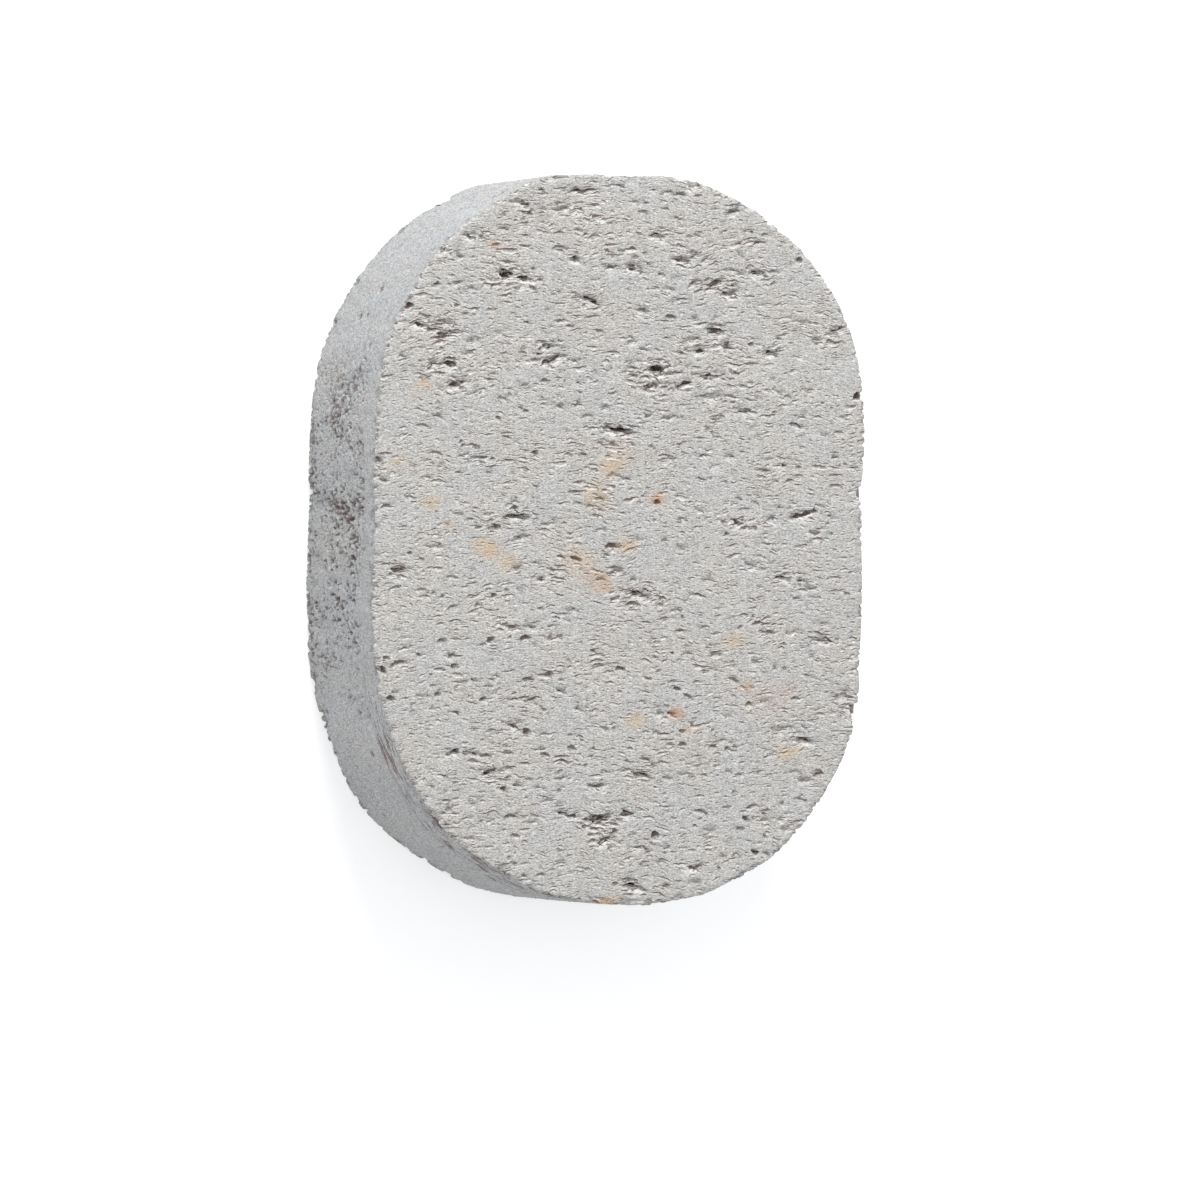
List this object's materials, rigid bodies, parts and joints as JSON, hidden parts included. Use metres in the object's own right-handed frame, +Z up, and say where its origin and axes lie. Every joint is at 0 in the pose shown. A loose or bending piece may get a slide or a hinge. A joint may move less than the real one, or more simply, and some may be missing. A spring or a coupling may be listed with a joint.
{
  "type": "pumice stone",
  "caption": "Oval sawn pumice stone for the bath, with two flat faces, a ground side and open slit-like bubbles, lying flat.",
  "frame": {"origin": "middle of the footprint, on the surface that the stone lies on", "axes": "+Z up out of the upper sawn face, +Y along the oval's long way, +X across it, along the drawn-out bubbles"},
  "size_m": [0.069, 0.095, 0.026],
  "materials": {
    "pumice": "matte, dry and chalky, pale grey with brownish pits and faint ochre stains"
  },
  "bodies": {
    "root": {"pumice_stone": "pumice"}
  },
  "joints": []
}
